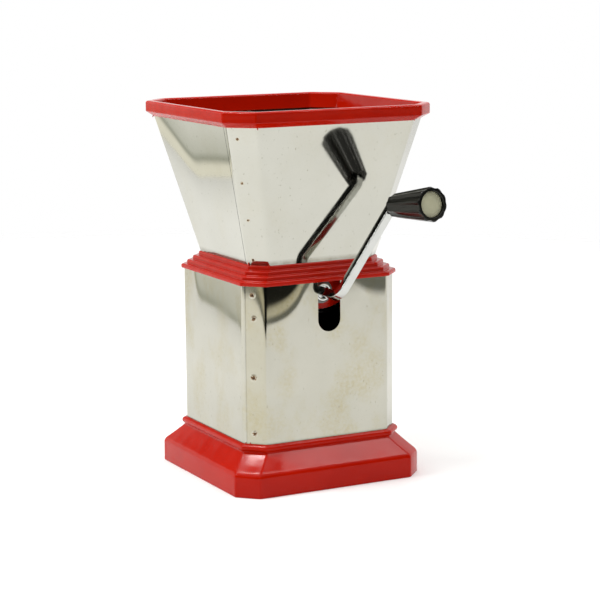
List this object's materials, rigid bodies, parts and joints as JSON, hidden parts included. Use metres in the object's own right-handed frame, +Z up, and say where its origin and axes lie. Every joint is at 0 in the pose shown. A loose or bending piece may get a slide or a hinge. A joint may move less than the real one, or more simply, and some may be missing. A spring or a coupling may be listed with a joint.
{
  "type": "rotary vegetable grater",
  "caption": "Hand-cranked rotary vegetable grater: flared steel hopper over a stepped red frame with a bladed shaft, standing on a steel container with a red plinth.",
  "frame": {"origin": "centre of the plinth's footprint, on the ground", "axes": "+Z up, -Y towards the crank side, +X to the right as the crank side is seen"},
  "size_m": [0.1612, 0.2154, 0.2653],
  "materials": {
    "red_plastic": "glossy moulded plastic",
    "steel_sheet": "mirror polished stainless sheet",
    "cutter_steel": "ground stainless",
    "bright_steel": "bright plated steel",
    "grey_nylon": "moulded nylon",
    "black_plastic": "glossy fluted plastic",
    "ivory_plastic": "smooth plastic"
  },
  "bodies": {
    "container": {"base": "red_plastic", "container_wall": "steel_sheet"},
    "upper": {"middle_frame": "red_plastic", "hopper_wall": "steel_sheet", "hopper_rim": "red_plastic", "left_comb": "cutter_steel", "right_comb": "cutter_steel", "comb_screws": "bright_steel", "front_bush": "grey_nylon", "rear_bush": "grey_nylon"},
    "crank": {"crank_rod": "bright_steel", "front_journal": "bright_steel", "rear_journal": "bright_steel", "journal_pin": "bright_steel", "rear_washer": "bright_steel", "rear_nut": "bright_steel", "blade_1": "cutter_steel", "blade_2": "cutter_steel", "blade_3": "cutter_steel", "blade_4": "cutter_steel", "blade_5": "cutter_steel", "blade_6": "cutter_steel", "blade_7": "cutter_steel", "blade_8": "cutter_steel", "blade_9": "cutter_steel", "blade_10": "cutter_steel", "blade_11": "cutter_steel", "spacer_1": "grey_nylon", "spacer_2": "grey_nylon", "spacer_3": "grey_nylon", "spacer_4": "grey_nylon", "spacer_5": "grey_nylon", "spacer_6": "grey_nylon", "spacer_7": "grey_nylon", "spacer_8": "grey_nylon", "spacer_9": "grey_nylon", "spacer_10": "grey_nylon", "spacer_11": "grey_nylon", "spacer_12": "grey_nylon", "knob_washer": "bright_steel"},
    "knob": {"knob": "black_plastic", "knob_cap": "ivory_plastic"}
  },
  "joints": [
    {"name": "upper_lift", "type": "slide", "parent": "container", "child": "upper", "axis": [0, 0, 1], "range_m": [0, 0.06]},
    {"name": "crank_turn", "type": "hinge", "parent": "upper", "child": "crank", "pos_m": [0, 0, 0.1363], "axis": [0, 1, 0], "continuous": true},
    {"name": "knob_spin", "type": "hinge", "parent": "crank", "child": "knob", "pos_m": [0.03682, -0.086, 0.19759], "axis": [0.0717, -0.9903, 0.1193], "continuous": true}
  ]
}
